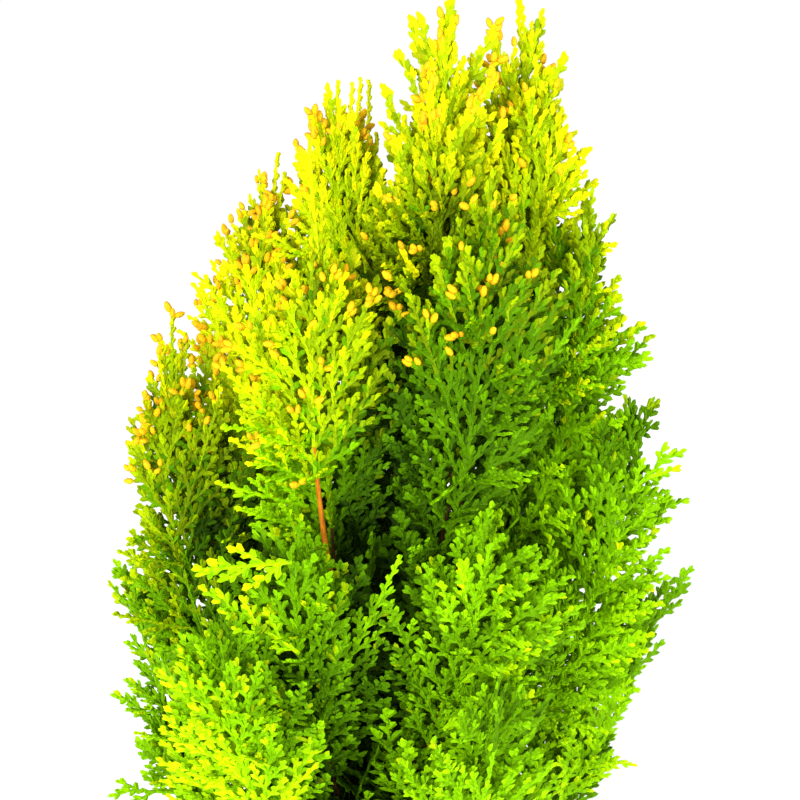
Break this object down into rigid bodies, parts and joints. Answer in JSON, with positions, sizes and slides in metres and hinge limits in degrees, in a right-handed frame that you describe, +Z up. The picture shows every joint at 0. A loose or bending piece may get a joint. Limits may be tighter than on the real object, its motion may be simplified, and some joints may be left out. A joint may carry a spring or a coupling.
{
  "type": "aurea nana oriental arborvitae",
  "caption": "Young golden dwarf conifer: a tapering trunk and boughs that carry an egg-shaped crown of upright, flat sprays.",
  "frame": {"origin": "centre of the flat cut under the trunk, at ground level", "axes": "+Z up the trunk; the side seen in the picture faces -Y and its right-hand side is +X"},
  "size_m": [0.1461, 0.1388, 0.2905],
  "materials": {
    "bark": "rough brown bark",
    "foliage": "golden-green scale leaves, soft satin"
  },
  "bodies": {
    "root": {"trunk": "bark", "bough_skirt_1": "bark", "bough_skirt_2": "bark", "bough_skirt_3": "bark", "bough_skirt_4": "bark", "bough_skirt_5": "bark", "bough_skirt_6": "bark", "bough_lower_1": "bark", "bough_lower_2": "bark", "bough_lower_3": "bark", "bough_lower_4": "bark", "bough_lower_5": "bark", "bough_lower_6": "bark", "bough_middle_1": "bark", "bough_middle_2": "bark", "bough_middle_3": "bark", "bough_middle_4": "bark", "bough_middle_5": "bark", "bough_middle_6": "bark", "bough_middle_7": "bark", "bough_upper_1": "bark", "bough_upper_2": "bark", "bough_upper_3": "bark", "bough_upper_4": "bark", "bough_upper_5": "bark", "bough_upper_6": "bark", "bough_leader_left": "bark", "foliage_skirt_1": "foliage", "foliage_skirt_2": "foliage", "foliage_skirt_3": "foliage", "foliage_skirt_4": "foliage", "foliage_skirt_5": "foliage", "foliage_skirt_6": "foliage", "foliage_lower_1": "foliage", "foliage_lower_2": "foliage", "foliage_lower_3": "foliage", "foliage_lower_4": "foliage", "foliage_lower_5": "foliage", "foliage_lower_6": "foliage", "foliage_middle_1": "foliage", "foliage_middle_2": "foliage", "foliage_middle_3": "foliage", "foliage_middle_4": "foliage", "foliage_middle_5": "foliage", "foliage_middle_6": "foliage", "foliage_middle_7": "foliage", "foliage_upper_1": "foliage", "foliage_upper_2": "foliage", "foliage_upper_3": "foliage", "foliage_upper_4": "foliage", "foliage_upper_5": "foliage", "foliage_upper_6": "foliage", "foliage_crest_1": "foliage", "foliage_crest_2": "foliage", "foliage_crest_3": "foliage", "foliage_crest_4": "foliage", "foliage_leader_left": "foliage", "foliage_leader_right": "foliage"}
  },
  "joints": []
}
